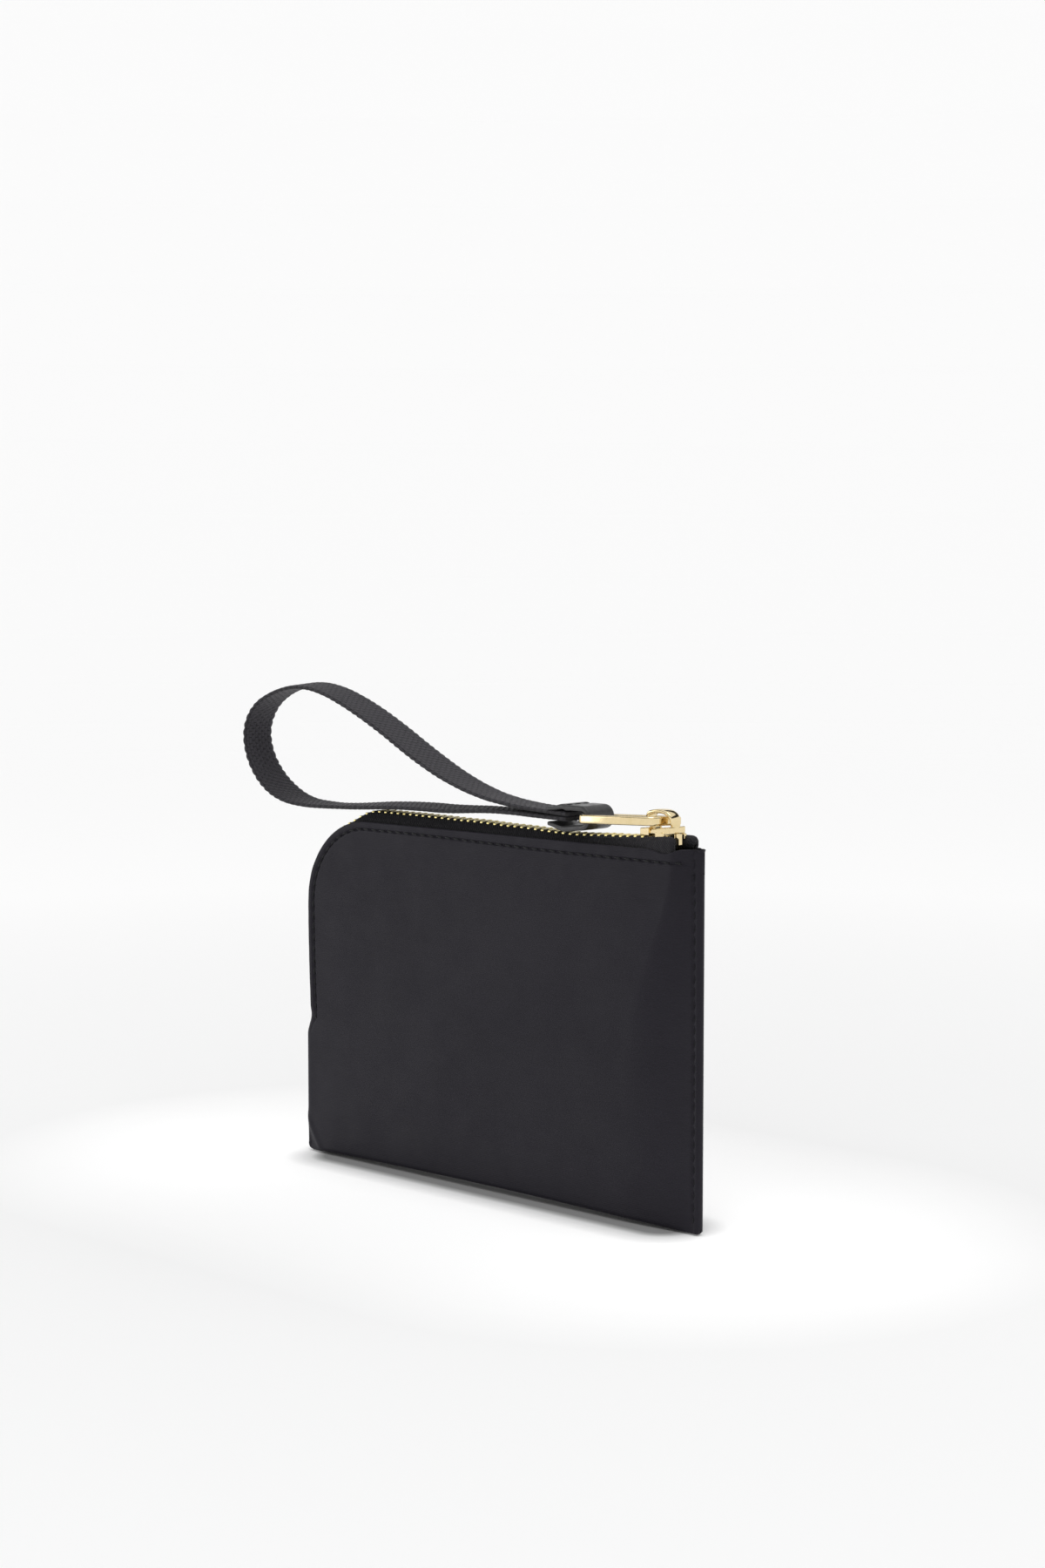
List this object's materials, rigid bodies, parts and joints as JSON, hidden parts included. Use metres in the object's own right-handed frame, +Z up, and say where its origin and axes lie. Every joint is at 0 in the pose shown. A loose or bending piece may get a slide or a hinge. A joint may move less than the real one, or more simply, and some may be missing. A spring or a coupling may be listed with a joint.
{
  "type": "zippered pouch",
  "caption": "Slim upright fabric pouch with a metal zip round one corner, a rectangular pull ring, a leather tab and a webbing wrist loop.",
  "frame": {"origin": "middle of the flat bottom fold, on the surface that the pouch stands on", "axes": "+X along the pouch towards the zip's closed end, -Y the front panel, +Z up"},
  "size_m": [0.1745, 0.0136, 0.1379],
  "materials": {
    "nylon": "satin ribbed nylon",
    "lining_cloth": "plain woven lining",
    "zip_tape": "herringbone woven tape",
    "gold_metal": "polished pale gold",
    "leather": "smooth black, painted edges",
    "webbing": "fine twill webbing",
    "thread": "twisted polyester thread"
  },
  "bodies": {
    "pouch": {"outer_shell": "nylon", "lining": "lining_cloth", "right_side_seam": "nylon", "left_side_seam": "nylon", "front_zip_tape": "zip_tape", "back_zip_tape": "zip_tape", "front_teeth": "gold_metal", "back_teeth": "gold_metal", "bottom_stop": "gold_metal", "front_top_stop": "gold_metal", "back_top_stop": "gold_metal", "front_topstitching": "thread", "back_topstitching": "thread", "side_stitching": "thread"},
    "slider": {"slider_body": "gold_metal", "slider_crown": "gold_metal"},
    "pull": {"pull_ring": "gold_metal"},
    "strap": {"leather_tab": "leather", "tab_stitching": "thread", "wrist_strap": "webbing"}
  },
  "joints": [
    {"name": "slider_travel", "type": "slide", "parent": "pouch", "child": "slider", "axis": [-1, 0, 0], "range_m": [0, 0.1], "deforming": ["front_teeth", "back_teeth"]},
    {"name": "ring_swing", "type": "hinge", "parent": "slider", "child": "pull", "pos_m": [0.062, 0, 0.1069], "axis": [0, 1, 0], "range_deg": [0, 120]},
    {"name": "tab_swing", "type": "hinge", "parent": "pull", "child": "strap", "pos_m": [0.03642, 0, 0.1059], "axis": [0, 1, 0], "range_deg": [0, 50]}
  ]
}
